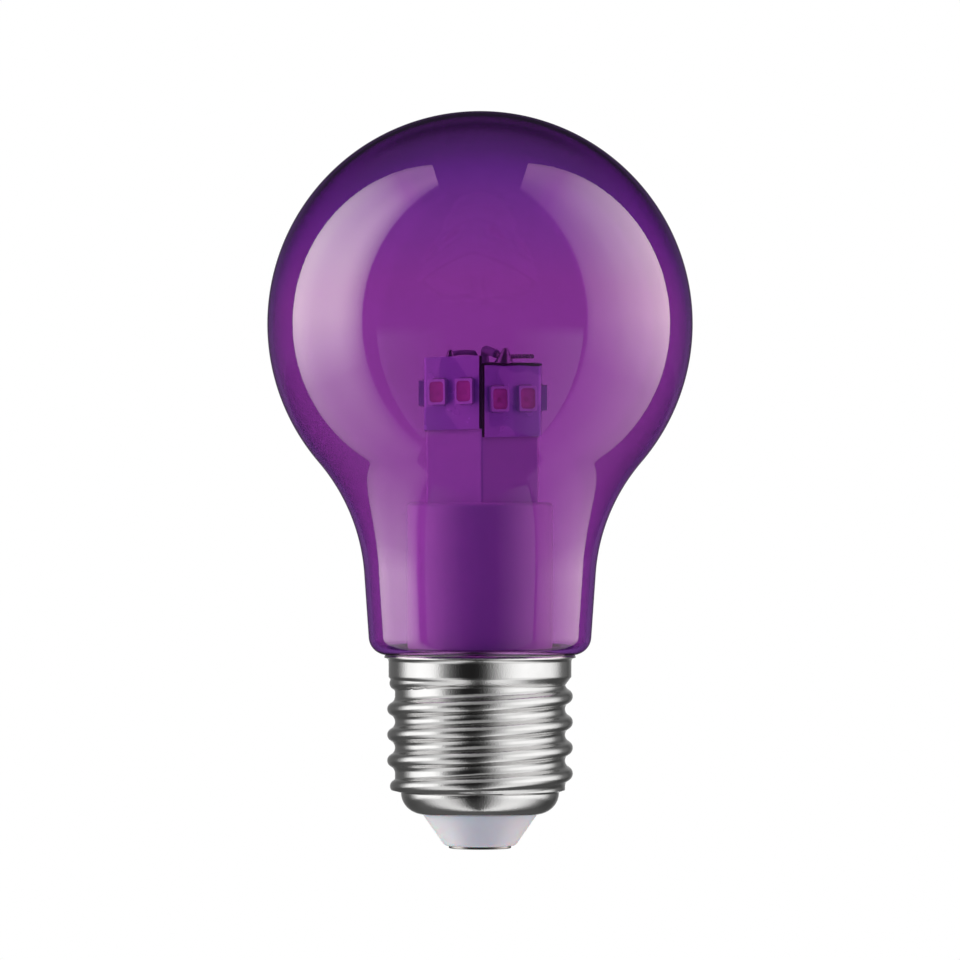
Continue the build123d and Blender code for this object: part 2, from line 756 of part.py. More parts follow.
with BuildPart() as board_solder:
    for x, z, diameter in board_holes:
        with Locations(Location((x, -board_face_y - board_solder_height / 2, z), (90, 0, 0))):
            Cone(diameter / 2 + board_solder_reach, diameter / 2 + seat_clearance + 0.1, board_solder_height)
            Cylinder(diameter / 2 + seat_clearance, board_solder_height, mode=Mode.SUBTRACT)
save(board_solder, "board_solder")

with BuildPart() as smoothing_capacitor:
    with Locations((capacitor_x, capacitor_y, capacitor_bottom_z)):
        Cylinder(capacitor_radius, capacitor_height, align=(Align.CENTER, Align.CENTER, Align.MIN))
    fillet(smoothing_capacitor.edges().filter_by(GeomType.CIRCLE), radius=capacitor_radius / 8)
    with Locations((capacitor_x, capacitor_y, capacitor_bottom_z + leg_bend)):
        Torus(1.06 * capacitor_radius, capacitor_radius / 7, mode=Mode.SUBTRACT)
    for leg in capacitor_legs:
        add(wire_along(leg, bare_wire_diameter).part)
save(smoothing_capacitor, "smoothing_capacitor")

with BuildPart() as fuse_resistor:
    with Locations((fuse_x, fuse_y, fuse_z)):
        Cylinder(fuse_diameter / 2, fuse_length)
    fillet(fuse_resistor.edges().filter_by(GeomType.CIRCLE), radius=fuse_diameter / 4)
    with Locations((fuse_x, fuse_y, fuse_z)):
        Torus(fuse_diameter / 2 + fuse_length / 4, fuse_length / 4 + 0.15, mode=Mode.SUBTRACT)
    for leg in fuse_legs:
        add(wire_along(leg, bare_wire_diameter).part)
save(fuse_resistor, "fuse_resistor")


def legged_chip(x, z, width, height, thickness, legs):
    """A moulded chip on the board's front face with a row of bent legs on each side."""
    riser = thickness / 2 + chip_leg_thickness
    with BuildPart() as chip:
        with Locations((x, -board_face_y - chip_leg_thickness - thickness / 2, z)):
            Box(width, thickness, height)
        for side in (-1, 1):
            foot_x = x + side * (width + chip_leg_reach) / 2
            riser_x = x + side * (width + chip_leg_thickness) / 2
            for leg in range(legs):
                leg_z = z + (leg - (legs - 1) / 2) * height / legs
                with Locations((foot_x, -board_face_y - chip_leg_thickness / 2, leg_z)):
                    Box(chip_leg_reach, chip_leg_thickness, chip_leg_width)
                with Locations((riser_x, -board_face_y - riser / 2, leg_z)):
                    Box(chip_leg_thickness, riser, chip_leg_width)
    return chip


chip_reach_x = board_half_width - chip_edge_gap - chip_leg_reach
rectifier_x = rectifier_width / 2 - chip_reach_x
rectifier_z = lead_hole_z - rectifier_width
bridge_rectifier = legged_chip(
    rectifier_x, rectifier_z, rectifier_width, chip_height, rectifier_thickness, rectifier_legs_per_side
)
driver_chip_x = chip_reach_x - chip_height / 2 - chip_edge_gap / 3
driver_chip_z = rectifier_z - chip_width
driver_chip = legged_chip(
    driver_chip_x, driver_chip_z, chip_height, chip_width, chip_thickness, driver_legs_per_side
)
save(bridge_rectifier, "bridge_rectifier")
save(driver_chip, "driver_chip")

with BuildPart() as chip_resistors:
    for place in range(3):
        resistor_x = -resistor_length * (0.2 + place)
        with Locations((resistor_x, -board_face_y - resistor_thickness / 2, fuse_z)):
            Box(resistor_width, resistor_thickness, resistor_length)
save(chip_resistors, "chip_resistors")
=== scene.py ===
"""Looks of the violet led bulb: studio, tinted glass, plated screw shell, leds, wiring and their materials.

Metres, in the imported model's frame: +Z up the bulb's axis, the photograph's camera on the -Y side.
"""

import math

import bpy
from mathutils import Matrix, Vector


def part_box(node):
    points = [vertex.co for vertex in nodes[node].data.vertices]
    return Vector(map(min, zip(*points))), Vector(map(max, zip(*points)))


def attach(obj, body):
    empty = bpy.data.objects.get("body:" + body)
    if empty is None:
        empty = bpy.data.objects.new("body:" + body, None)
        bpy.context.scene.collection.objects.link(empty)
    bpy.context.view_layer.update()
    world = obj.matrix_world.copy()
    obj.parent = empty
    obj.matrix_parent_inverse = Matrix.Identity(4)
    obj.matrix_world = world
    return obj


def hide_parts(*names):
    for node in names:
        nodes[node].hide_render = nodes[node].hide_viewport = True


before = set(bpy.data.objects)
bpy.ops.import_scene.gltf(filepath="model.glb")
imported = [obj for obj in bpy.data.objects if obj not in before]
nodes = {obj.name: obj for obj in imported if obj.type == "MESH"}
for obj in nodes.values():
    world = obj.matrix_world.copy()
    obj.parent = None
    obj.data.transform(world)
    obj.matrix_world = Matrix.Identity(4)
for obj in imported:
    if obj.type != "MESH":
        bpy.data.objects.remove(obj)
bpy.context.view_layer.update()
MM = 0.001

# The photograph's view
CAMERA_DISTANCE = 0.9
CAMERA_HEIGHT = 51.9 * MM
FRAME_WIDTH = 135.4 * MM
SENSOR_WIDTH = 36.0

# Studio: a white backdrop with a low top edge, a tall soft box on each side, a white floor, dark elsewhere
SOFTBOX_DISTANCE = 0.5
SOFTBOX_TOP = 1.75
SOFTBOX_BOTTOM = -1.0
LEFT_BOX = {"front": -0.237, "rear": 0.278, "level": 6.9, "colour": (1.0, 0.95, 0.82)}
RIGHT_BOX = {"front": -0.305, "rear": 0.316, "level": 5.7, "colour": (1.0, 0.88, 0.75)}
# How bright a soft box is along its width, and its tone along its height, as shares of its level
LEFT_ACROSS = [
    (-0.237, 0.25), (-0.2, 0.55), (-0.155, 0.8), (-0.095, 1.0), (-0.03, 0.97), (0.05, 0.85), (0.2, 0.8),
    (0.278, 0.64),
]
RIGHT_ACROSS = [
    (-0.305, 0.15), (-0.26, 0.29), (-0.2, 0.37), (-0.1, 0.55), (-0.03, 0.71), (0.1, 0.84), (0.316, 0.78),
]
BOX_UP = [
    (-1.0, (0.06, 0.06, 0.06)), (-0.6, (0.12, 0.12, 0.12)), (-0.3, (0.25, 0.25, 0.26)),
    (-0.12, (0.39, 0.39, 0.42)), (0.0, (0.74, 0.74, 0.78)), (0.1, (1.0, 1.0, 1.0)), (0.3, (1.0, 1.0, 1.0)),
    (0.65, (0.7, 0.62, 0.71)), (0.97, (0.4, 0.24, 0.4)), (1.3, (0.36, 0.24, 0.35)),
    (1.75, (0.38, 0.23, 0.36)),
]
# Dim low reflectors at the front left and right, which the glass neck mirrors
REFLECTOR_INNER, REFLECTOR_OUTER = (0.2, -0.62), (0.49, -0.33)
REFLECTOR_LEVELS = (0.55, 0.9)
REFLECTOR_ACROSS = [(-0.62, 0.05), (-0.5, 0.35), (-0.42, 0.65), (-0.33, 1.0)]
REFLECTOR_UP = [(-0.9, (0.5,) * 3), (-0.4, (0.8,) * 3), (0.0, (1.0,) * 3), (0.06, (0.0,) * 3)]
# A light tent that the metal cap alone mirrors: levels by azimuth in degrees, 0 towards the camera, + to the
# right, for rays that leave the metal level, steeply upwards and steeply downwards
TENT_RADIUS = 0.75
TENT_RINGS, TENT_SEGMENTS = 16, 32
TENT_BRIGHTEST = 2.0
TENT_LEVEL = [
    (-180, 0.4), (-165, 0.2), (-153, 0.13), (-139, 0.11), (-125, 0.12), (-114, 0.6), (-103, 1.5), (-82, 1.68),
    (-66, 1.64), (-57, 1.35), (-49, 0.58), (-38, 0.15), (-25, 0.01), (-5, 0.004), (2, 0.02), (11, 0.17),
    (22, 0.6), (32, 1.1), (45, 1.48), (60, 1.56), (82, 1.48), (100, 1.32), (111, 0.95), (124, 0.2),
    (148, 0.06),
    (180, 0.4),
]
TENT_UPWARDS = [
    (-180, 0.2), (-120, 0.12), (-100, 0.75), (-66, 0.95), (-45, 0.75), (-20, 0.36), (0, 0.34), (20, 0.55),
    (40, 1.0), (82, 1.25), (100, 0.9), (125, 0.12), (180, 0.2),
]
TENT_DOWNWARDS = [
    (-180, 0.08), (-130, 0.08), (-105, 0.12), (-90, 0.55), (-73, 1.0), (-52, 1.03), (-36, 0.7), (-20, 0.03),
    (-5, 0.02), (10, 0.12), (22, 0.6), (43, 1.15), (70, 1.18), (90, 0.8), (105, 0.25), (125, 0.06),
    (180, 0.08),
]
# Where the level profile gives way to the steep ones, by the height of the ray's direction
TENT_TURNS_UP, TENT_TURNS_DOWN = (0.25, 0.5), (-0.15, -0.35)
# Floor: its own grey, its glow as a light, its glow in the picture, and its level by distance in metal
FLOOR_REACH = 6.0
FLOOR_DROP = 1.05
FLOOR_GREY = 0.7
FLOOR_LEVEL = 0.55
FLOOR_WHITE = (0.94, 0.92, 0.83)
FLOOR_IN_GLOSS = [(1.05, 0.05), (1.4, 0.04), (2.2, 0.012), (3.0, 0.012)]
# The surroundings as the glass mirrors them: dark, with a pale window behind whose edges are these directions
STUDIO_DARK = 0.012
WINDOW_LEVEL = 0.6
WINDOW_UP, WINDOW_ACROSS, WINDOW_BEHIND = (0.045, 0.15), (0.05, 0.16), (0.0, 0.3)
STUDIO_BACK = 0.03
STUDIO_BACK_BEHIND, STUDIO_BACK_UP = (0.3, 0.8), (0.1, 0.4)
# The surroundings as light sees them that is mirrored inside the glass, by the height of its direction
LEVEL_IN_GLASS = (0.3, 0.2, 0.45)
STUDIO_IN_GLASS = [
    (-0.2, (0.4, 0.26, 0.55)), (0.0, LEVEL_IN_GLASS), (0.1, (0.22, 0.14, 0.37)), (0.3, (0.04, 0.05, 0.06)),
]
# Soft light from the camera's side for matt surfaces alone
FRONT_FILL = (0.16, 0.2, 0.46)
FILL_IN_FRONT = (-0.3, 0.1)
# The backdrop seen through the glass: white low down, turning blue-violet and dark towards its top edge
BACKDROP_UP = [
    (0.035, (1.0, 1.0, 1.0)), (0.047, (0.82, 0.9, 0.96)), (0.058, (0.68, 0.8, 0.9)),
    (0.067, (0.57, 0.7, 0.84)),
    (0.075, (0.48, 0.6, 0.76)), (0.09, (0.35, 0.54, 0.55)), (0.12, (0.25, 0.42, 0.37)),
    (0.14, (0.11, 0.17, 0.16)), (0.162, (0.04, 0.06, 0.07)), (0.2, (0.2, 0.28, 0.28)),
    (0.26, (0.35, 0.4, 0.42)),
]
# Towards its sides it stays brighter and turns bluer, which shows along the rims
BACKDROP_SIDES_UP = [
    (-0.3, (1.0, 0.85, 1.0)), (0.035, (1.0, 0.85, 1.0)), (0.07, (0.75, 0.65, 1.0)), (0.1, (0.5, 0.42, 0.8)),
    (0.16, (0.4, 0.35, 0.65)), (0.26, (0.35, 0.3, 0.5)),
]
BACKDROP_SIDES = (0.04, 0.11)

# Glass, the same driving sizes as the solid
GLOBE_RADIUS = 30.0 * MM
GLASS_WALL = 0.7 * MM
NECK_CORNER_RADIUS = 2.65 * MM
NECK_TAPER = math.radians(4.0)
NECK_LENGTH = 8.86 * MM
NECK_OVERHANG = 2.82 * MM
SHOULDER_RADIUS = 27.0 * MM
GLASS_COLLAR_LENGTH = 2.5 * MM
GLASS_COLLAR_RADIUS = 12.3 * MM
# What one wall lets through: the tint is a thin lacquer, so it doesn't deepen along the rims
GLASS_LOW, GLASS_HIGH = (0.475, 0.184, 0.53), (0.495, 0.196, 0.552)
TINT_PATCH, RIPPLE_SIZE = 14 * MM, 18 * MM
RIPPLE_STRENGTH, RIPPLE_HEIGHT = 0.02, 0.05 * MM
GLASS_SEGMENTS = 144
HEAD_STEPS, BEND_STEPS, TUCK_STEPS = 90, 36, 14
CROWN_GAP = 0.001

# Screw shell, the same driving sizes as the solid
CREST_RADIUS = 13.1 * MM
THREAD_PITCH = 3.629 * MM
THREAD_DEPTH = 1.096 * MM
THREAD_TURNS = 5
THREAD_START_DROP = 1.3 * MM
# The ridge rises from a share of its depth over so many turns, and falls in the same way at its upper end
FADE_IN, FADE_IN_TURNS = 0.05, 0.85
FADE_OUT, FADE_OUT_TURNS = 0.15, 0.9
CAP_WALL = 0.3 * MM
CUP_CORNER_RADIUS = 3.05 * MM
CUP_STEP = 0.85 * MM
CUP_STEP_SLOPE = 0.35 * MM
COLLAR_STEP = 0.2 * MM
COLLAR_SLOPE = 1.2 * MM
RIM_FLARE = 0.6 * MM
RIM_LIP = 0.35 * MM
LIP_BEVEL = 0.1 * MM
SHELL_SEGMENTS = 192
CUP_STEPS, THREAD_STEPS, SLOPE_STEPS, FLARE_STEPS, COLLAR_STEPS = 16, 96, 12, 8, 6
HEIGHT_SLACK, PITCH_SLACK = 1e-7, 1e-9

# Led column
FACETS = 6
LEDS = 12
LEDS_PER_FACET = 2
COLUMN_TURN = math.radians(-1.2)
COLUMN_OFFSET = 0.45 * MM
# Under each window, in mm: a lead frame in two parts with a gap, and a chip on its larger part
FRAME_DEPTH = 0.2
FRAME_WIDE, FRAME_HIGH, FRAME_THICK, FRAME_TOP_PART, FRAME_GAP = 1.75, 2.4, 0.03, 0.75, 0.14
CHIP_SIDE, CHIP_BOTTOM, CHIP_LEVEL = 0.55, -0.45, 0.14
# Solder on the two terminals above each package, in mm
TERMINAL_DEPTH = 0.45
TERMINALS_LEFT, TERMINAL_WIDE = (-0.66, 0.1), 0.56
TERMINAL_UP, TERMINAL_OUT = (-0.02, 0.2), (-0.12, 0.16)
# Painted shade: a dark bead on the strip's seam and on the top edge of its lowest facet, where it waves a
# little
STRIP_REACH, STRIP_HEIGHT = 8.2 * MM, 10.2 * MM
SHADE_BEAD_WIDE, SHADE_BEAD_THICK, SHADE_BEAD_STAND = 0.2 * MM, 0.09 * MM, 0.02 * MM
SHADE_BEAD_SIDES, SHADE_BEAD_END = 10, 0.35
SEAM_BOTTOM, SEAM_STEPS = 1.2 * MM, 12
EDGE_OVERRUN, EDGE_STEPS = 2.04, 16
WAVE_HEIGHT, WAVE_STEP = 0.05 * MM, 2.3 / 3


# Small mesh and material helpers


def piece(name, vertices, faces, material, slot, replaced=(), sharp=35):
    """A mesh that rides on the bulb's one body and takes the given material; its slot is not used."""
    mesh = bpy.data.meshes.new(name)
    mesh.from_pydata([tuple(v) for v in vertices], [], faces)
    mesh.validate()
    mesh.materials.append(material)
    mesh.shade_smooth()
    mesh.set_sharp_from_angle(angle=math.radians(sharp))
    made = bpy.data.objects.new(name, mesh)
    bpy.context.scene.collection.objects.link(made)
    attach(made, "root")
    if replaced:
        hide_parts(*replaced)
    return made


def arc(centre, radius, start, end, count):
    """Points along an arc in the half plane, both ends included."""
    angles = [start + (end - start) * i / count for i in range(count + 1)]
    return [(centre[0] + radius * math.cos(a), centre[1] + radius * math.sin(a)) for a in angles]


def lathe(rings, segments, radius_at=None):
    """Vertices and faces of a closed outline turned about Z.

    With radius_at, a ring's radius follows the angle.
    """
    vertices, faces = [], []
    for index, (radius, height) in enumerate(rings):
        for step in range(segments):
            angle = 2 * math.pi * step / segments
            here = radius_at(index, radius, height, angle) if radius_at else radius
            vertices.append((here * math.cos(angle), here * math.sin(angle), height))
    count = len(rings)
    for index in range(count):
        after = (index + 1) % count
        for step in range(segments):
            side = (step + 1) % segments
            a, b = index * segments + step, index * segments + side
            c, d = after * segments + side, after * segments + step
            faces.append((a, b, c, d))
    return vertices, faces


class Shader:
    """A material under construction: nodes are added by type and joined by socket."""

    def __init__(self, name):
        self.material = bpy.data.materials.new(name)
        self.material.use_nodes = True
        self.tree = self.material.node_tree
        self.tree.nodes.clear()
        self.output = self.add("ShaderNodeOutputMaterial")
        self.coordinates = self.add("ShaderNodeTexCoord").outputs["Object"]

    def add(self, kind, **values):
        """A new node of a type, with its settings."""
        node = self.tree.nodes.new(kind)
        for key, value in values.items():
            setattr(node, key, value)
        return node

    def join(self, start, end):
        """Links an output to an input."""
        self.tree.links.new(start, end)

    def noise(self, size, detail):
        """Noise whose grains are about this many metres across."""
        mapping = self.add("ShaderNodeMapping")
        mapping.inputs["Scale"].default_value = [1 / size] * 3
        self.join(self.coordinates, mapping.inputs["Vector"])
        noise = self.add("ShaderNodeTexNoise")
        noise.inputs["Scale"].default_value = 1.0
        noise.inputs["Detail"].default_value = detail
        noise.inputs["Roughness"].default_value = 0.5
        self.join(mapping.outputs["Vector"], noise.inputs["Vector"])
        return noise.outputs["Fac"]

    def between(self, factor, low, high):
        """A number that follows a factor from low to high."""
        spread = self.add("ShaderNodeMapRange")
        spread.inputs["To Min"].default_value = low
        spread.inputs["To Max"].default_value = high
        self.join(factor, spread.inputs["Value"])
        return spread.outputs["Result"]

    def blend(self, factor, low, high, width=0.4):
        """A colour that follows a factor from low to high, within a width of it around its middle."""
        ramp = self.add("ShaderNodeValToRGB")
        ramp.color_ramp.elements[0].position = 0.5 - width / 2
        ramp.color_ramp.elements[1].position = 0.5 + width / 2
        ramp.color_ramp.elements[0].color = (*low, 1)
        ramp.color_ramp.elements[1].color = (*high, 1)
        self.join(factor, ramp.inputs["Fac"])
        return ramp.outputs["Color"]


# Below this crisp value the patches get plain outlines; above this share a face counts as looking outwards
HARD_LINE = 0.1
FACING_OUT = 0.78


def finish(
    name, low, high, rough, patch=2.0 * MM, grain=0.3 * MM, bump=0.15, lift=0.02 * MM, edge=None, crisp=0.4,
    **sockets,
):
    """A surface whose colour drifts between two tones, with grain in its roughness and its relief.

    With an edge colour, faces that don't look away from the bulb's axis, such as cut edges and side walls,
    take that colour, which paints shade on the led packages' side walls and, together with the substrate's
    own dark tone, on the strip's back and cut edges.
    A small crisp value parts the two tones by a hard line, as copper under solder mask does.
    """
    shader = Shader(name)
    body = shader.add("ShaderNodeBsdfPrincipled")
    patches = shader.noise(patch, detail=4 if crisp > HARD_LINE else 0)
    colour = shader.blend(patches, low, high, crisp)
    # Faces that don't look outwards take the edge colour: painted shade on the led packages' sides, and on
    # the strip's back and cut edges its dark substrate together with painted shade.
    if edge:
        flat = shader.add("ShaderNodeVectorMath", operation="MULTIPLY")
        flat.inputs[1].default_value = (1, 1, 0)
        shader.join(shader.coordinates, flat.inputs[0])
        outwards = shader.add("ShaderNodeVectorMath", operation="NORMALIZE")
        shader.join(flat.outputs[0], outwards.inputs[0])
        facing = shader.add("ShaderNodeVectorMath", operation="DOT_PRODUCT")
        shader.join(outwards.outputs[0], facing.inputs[0])
        shader.join(shader.add("ShaderNodeNewGeometry").outputs["True Normal"], facing.inputs[1])
        outer = shader.add("ShaderNodeMath", operation="GREATER_THAN")
        outer.inputs[1].default_value = FACING_OUT
        shader.join(facing.outputs["Value"], outer.inputs[0])
        side_tone_and_shade = shader.add("ShaderNodeMix", data_type="RGBA")
        side_tone_and_shade.inputs[6].default_value = (*edge, 1)
        shader.join(outer.outputs[0], side_tone_and_shade.inputs["Factor"])
        shader.join(colour, side_tone_and_shade.inputs[7])
        colour = side_tone_and_shade.outputs[2]
    shader.join(colour, body.inputs["Base Color"])
    grains = shader.noise(grain, detail=2)
    shader.join(shader.between(grains, *rough), body.inputs["Roughness"])
    relief = shader.add("ShaderNodeBump")
    relief.inputs["Strength"].default_value = bump
    relief.inputs["Distance"].default_value = lift
    shader.join(grains, relief.inputs["Height"])
    shader.join(relief.outputs["Normal"], body.inputs["Normal"])
    for socket, value in sockets.items():
        body.inputs[socket.replace("_", " ")].default_value = value
    shader.join(body.outputs["BSDF"], shader.output.inputs["Surface"])
    return shader.material


def tinted_glass():
    """Clear glass with a violet lacquer on its surfaces and a faint ripple.

    Light for matt surfaces and shadows goes straight through it, so that the inside is lit.
    """
    shader = Shader("tinted_glass")
    body = shader.add("ShaderNodeBsdfPrincipled")
    tint = shader.blend(shader.noise(TINT_PATCH, detail=2), GLASS_LOW, GLASS_HIGH)
    shader.join(tint, body.inputs["Base Color"])
    body.inputs["Transmission Weight"].default_value = 1.0
    body.inputs["IOR"].default_value = 1.5
    body.inputs["Roughness"].default_value = 0.0
    relief = shader.add("ShaderNodeBump")
    relief.inputs["Strength"].default_value = RIPPLE_STRENGTH
    relief.inputs["Distance"].default_value = RIPPLE_HEIGHT
    shader.join(shader.noise(RIPPLE_SIZE, detail=1), relief.inputs["Height"])
    shader.join(relief.outputs["Normal"], body.inputs["Normal"])
    clear = shader.add("ShaderNodeBsdfTransparent")
    one_surface = [math.sqrt((low + high) / 2) for low, high in zip(GLASS_LOW, GLASS_HIGH)]
    clear.inputs["Color"].default_value = (*one_surface, 1)
    path = shader.add("ShaderNodeLightPath")
    lit = shader.add("ShaderNodeMath", operation="MAXIMUM")
    shader.join(path.outputs["Is Shadow Ray"], lit.inputs[0])
    shader.join(path.outputs["Is Diffuse Ray"], lit.inputs[1])
    mix = shader.add("ShaderNodeMixShader")
    shader.join(lit.outputs[0], mix.inputs["Fac"])
    shader.join(body.outputs["BSDF"], mix.inputs[1])
    shader.join(clear.outputs["BSDF"], mix.inputs[2])
    shader.join(mix.outputs["Shader"], shader.output.inputs["Surface"])
    return shader.material


def profile(add, join, source, stops, scale=1.0):
    """A number or colour that follows a source through a list of places and values.

    Numbers up to the scale can be given, colours up to 1.
    """
    low, high = stops[0][0], stops[-1][0]
    spread = add("ShaderNodeMapRange")
    spread.inputs["From Min"].default_value = low
    spread.inputs["From Max"].default_value = high
    join(source, spread.inputs["Value"])
    ramp = add("ShaderNodeValToRGB")
    elements = ramp.color_ramp.elements
    while len(elements) < len(stops):
        elements.new(0.5)
    for element, (place, value) in zip(elements, stops):
        element.position = (place - low) / (high - low)
        element.color = (*value, 1) if isinstance(value, tuple) else (*[value / scale] * 3, 1)
    join(spread.outputs["Result"], ramp.inputs["Fac"])
    if scale == 1.0:
        return ramp.outputs["Color"]
    scaled = add("ShaderNodeMath", operation="MULTIPLY")
    scaled.inputs[1].default_value = scale
    join(ramp.outputs["Color"], scaled.inputs[0])
    return scaled.outputs[0]


def straight_through(add, join, extra_depth=0):
    """A switch that is on for light that passes through glass without being mirrored anywhere.

    In a world, a ray counts as one bounce deeper than on a surface, which extra_depth takes off.
    """
    path = add("ShaderNodeLightPath")
    depth = add("ShaderNodeMath", operation="SUBTRACT")
    depth.inputs[1].default_value = extra_depth
    join(path.outputs["Ray Depth"], depth.inputs[0])
    mirrored = add("ShaderNodeMath", operation="SUBTRACT", use_clamp=True)
    join(depth.outputs[0], mirrored.inputs[0])
    join(path.outputs["Transmission Depth"], mirrored.inputs[1])
    straight = add("ShaderNodeMath", operation="SUBTRACT", use_clamp=True)
    join(path.outputs["Is Transmission Ray"], straight.inputs[0])
    join(mirrored.outputs[0], straight.inputs[1])
    return straight.outputs[0]


def lamp(shader, light):
    """Finishes a material as a glow that lets other light through."""
    both = shader.add("ShaderNodeAddShader")
    shader.join(shader.add("ShaderNodeBsdfTransparent").outputs[0], both.inputs[0])
    shader.join(light.outputs["Emission"], both.inputs[1])
    shader.join(both.outputs[0], shader.output.inputs["Surface"])
    return shader.material


def glow(name, level, colour, across, up):
    """A soft box: its level follows its width and its tone its height; through glass it shows plain white."""
    shader = Shader(name)
    light = shader.add("ShaderNodeEmission")
    through = shader.add("ShaderNodeLightPath").outputs["Is Transmission Ray"]
    place = shader.add("ShaderNodeSeparateXYZ")
    shader.join(shader.coordinates, place.inputs["Vector"])
    wide = profile(shader.add, shader.join, place.outputs["Y"], across)
    tones = [(height, tuple(a * b for a, b in zip(value, colour))) for height, value in up]
    tone = profile(shader.add, shader.join, place.outputs["Z"], tones)
    scaled = shader.add("ShaderNodeMath", operation="MULTIPLY")
    scaled.inputs[1].default_value = level
    shader.join(wide, scaled.inputs[0])
    white = shader.add("ShaderNodeMix", data_type="RGBA")
    white.inputs[7].default_value = (1, 1, 1, 1)
    shader.join(through, white.inputs["Factor"])
    shader.join(tone, white.inputs[6])
    shader.join(white.outputs[2], light.inputs["Color"])
    plain = shader.add("ShaderNodeMix", data_type="FLOAT")
    plain.inputs["B"].default_value = 1.0
    shader.join(through, plain.inputs["Factor"])
    shader.join(scaled.outputs[0], plain.inputs["A"])
    shader.join(plain.outputs["Result"], light.inputs["Strength"])
    return lamp(shader, light)


# Materials

GLASS = tinted_glass()
PLATED = finish(
    "plated_steel", (0.58, 0.575, 0.57), (0.63, 0.625, 0.62), (0.06, 0.12), patch=4 * MM, grain=0.17 * MM,
    bump=0.8, lift=0.02 * MM, Metallic=1.0,
)
CONTACT = finish(
    "contact_metal", (0.2, 0.2, 0.21), (0.27, 0.27, 0.28), (0.3, 0.45), patch=3 * MM, grain=0.2 * MM,
    bump=0.3, lift=0.01 * MM, Metallic=1.0,
)
INSULATION = finish(
    "cap_insulator", (0.55, 0.555, 0.575), (0.58, 0.585, 0.605), (0.3, 0.42), patch=5 * MM, grain=0.5 * MM,
    bump=0.05, Subsurface_Weight=0.6, Subsurface_Scale=3 * MM,
)
WHITE = finish(
    "white_plastic", (0.69, 0.72, 0.72), (0.73, 0.75, 0.75), (0.3, 0.42), patch=6 * MM, grain=0.4 * MM,
    bump=0.06,
)
# The edge colour here darkens the strip's back and cut edges: partly its dark substrate, partly painted shade
# in the seam and behind the top edge.
STRIP = finish(
    "strip_board", (0.58, 0.5, 0.74), (0.76, 0.7, 0.86), (0.22, 0.3), patch=4 * MM, grain=3 * MM, bump=0.4,
    lift=0.12 * MM, crisp=0.04, edge=(0.1, 0.015, 0.03), Metallic=0.35,
)
# A black tape colour used as painted shade: on the strip's tape and on the beads along the seam and the top
# edge.
PAINTED_SHADE_TAPE = finish("dark_tape", (0.01, 0.008, 0.008), (0.02, 0.012, 0.012), (0.6, 0.8))
# The edge colour here is painted shade: the packages' side, top and bottom faces come out darker, where the
# column keeps the side light off them.
LED_BODY = finish(
    "led_body", (0.78, 0.72, 0.82), (0.85, 0.79, 0.89), (0.25, 0.4), patch=1 * MM, grain=0.1 * MM,
    edge=(0.5, 0.42, 0.6),
)
LED_RESIN = finish(
    "led_resin", (0.95, 0.22, 0.5), (1.0, 0.27, 0.6), (0.12, 0.2), patch=0.8 * MM, grain=0.2 * MM, bump=0.1,
    Alpha=0.55, Coat_Weight=1.0, Coat_Roughness=0.22,
)
LEAD_FRAME = finish(
    "lead_frame", (0.96, 0.66, 0.72), (0.98, 0.74, 0.8), (0.25, 0.4), patch=0.6 * MM, grain=0.08 * MM,
    bump=0.2,
    lift=0.01 * MM, Metallic=0.2,
)
SOLDER = finish(
    "solder", (0.6, 0.59, 0.58), (0.72, 0.71, 0.7), (0.15, 0.32), patch=0.6 * MM, grain=0.15 * MM,
    Metallic=1.0,
)
SLEEVE = finish("wire_sleeve", (0.3, 0.26, 0.36), (0.36, 0.3, 0.42), (0.35, 0.5), patch=1 * MM)
TINNED = finish("bare_wire", (0.5, 0.48, 0.46), (0.62, 0.6, 0.57), (0.2, 0.35), patch=0.8 * MM, Metallic=1.0)
CEMENT = finish("cement", (0.74, 0.72, 0.7), (0.84, 0.82, 0.8), (0.7, 0.9), patch=1 * MM, bump=0.5)
LAMINATE = finish("board_laminate", (0.08, 0.24, 0.12), (0.12, 0.3, 0.16), (0.25, 0.4), patch=2 * MM)
CHIP = finish("chip_body", (0.03, 0.03, 0.032), (0.05, 0.05, 0.052), (0.5, 0.65), grain=0.1 * MM)
CAPACITOR = finish("capacitor_sleeve", (0.05, 0.07, 0.12), (0.08, 0.1, 0.17), (0.25, 0.4), patch=2 * MM)
LACQUER = finish("fuse_coating", (0.24, 0.36, 0.28), (0.32, 0.44, 0.36), (0.3, 0.5), patch=1 * MM)

NODE_FINISH = {
    "insulator": INSULATION, "centre_contact": CONTACT, "cement_ring": CEMENT,
    "driver_housing": WHITE, "led_post": WHITE, "circuit_strip": STRIP, "strip_tape": PAINTED_SHADE_TAPE,
    "led_solder": SOLDER, "plus_lead": SLEEVE, "plus_core": TINNED, "minus_lead": SLEEVE,
    "plus_joint": SOLDER, "minus_joint": SOLDER, "live_wire": TINNED, "return_wire": TINNED,
    "driver_board": LAMINATE, "board_solder": SOLDER, "smoothing_capacitor": CAPACITOR,
    "fuse_resistor": LACQUER, "bridge_rectifier": CHIP, "driver_chip": CHIP, "chip_resistors": CHIP,
}
NUMBERED_FINISH = {"led_package": LED_BODY, "led_window": LED_RESIN}
NODE_SHARP = math.radians(30)
for name, node in nodes.items():
    chosen = NODE_FINISH.get(name) or NUMBERED_FINISH.get(name.rpartition("_")[0])
    if chosen:
        node.data.materials.clear()
        node.data.materials.append(chosen)
        for polygon in node.data.polygons:
            polygon.use_smooth = True
        node.data.set_sharp_from_angle(angle=NODE_SHARP)

# Glass bulb: one closed wall, outside and inside, turned about the axis

CROWN_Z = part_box("glass_bulb")[1][2]
(*_, CAP_BOTTOM_Z), (*_, RIM_Z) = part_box("screw_shell")


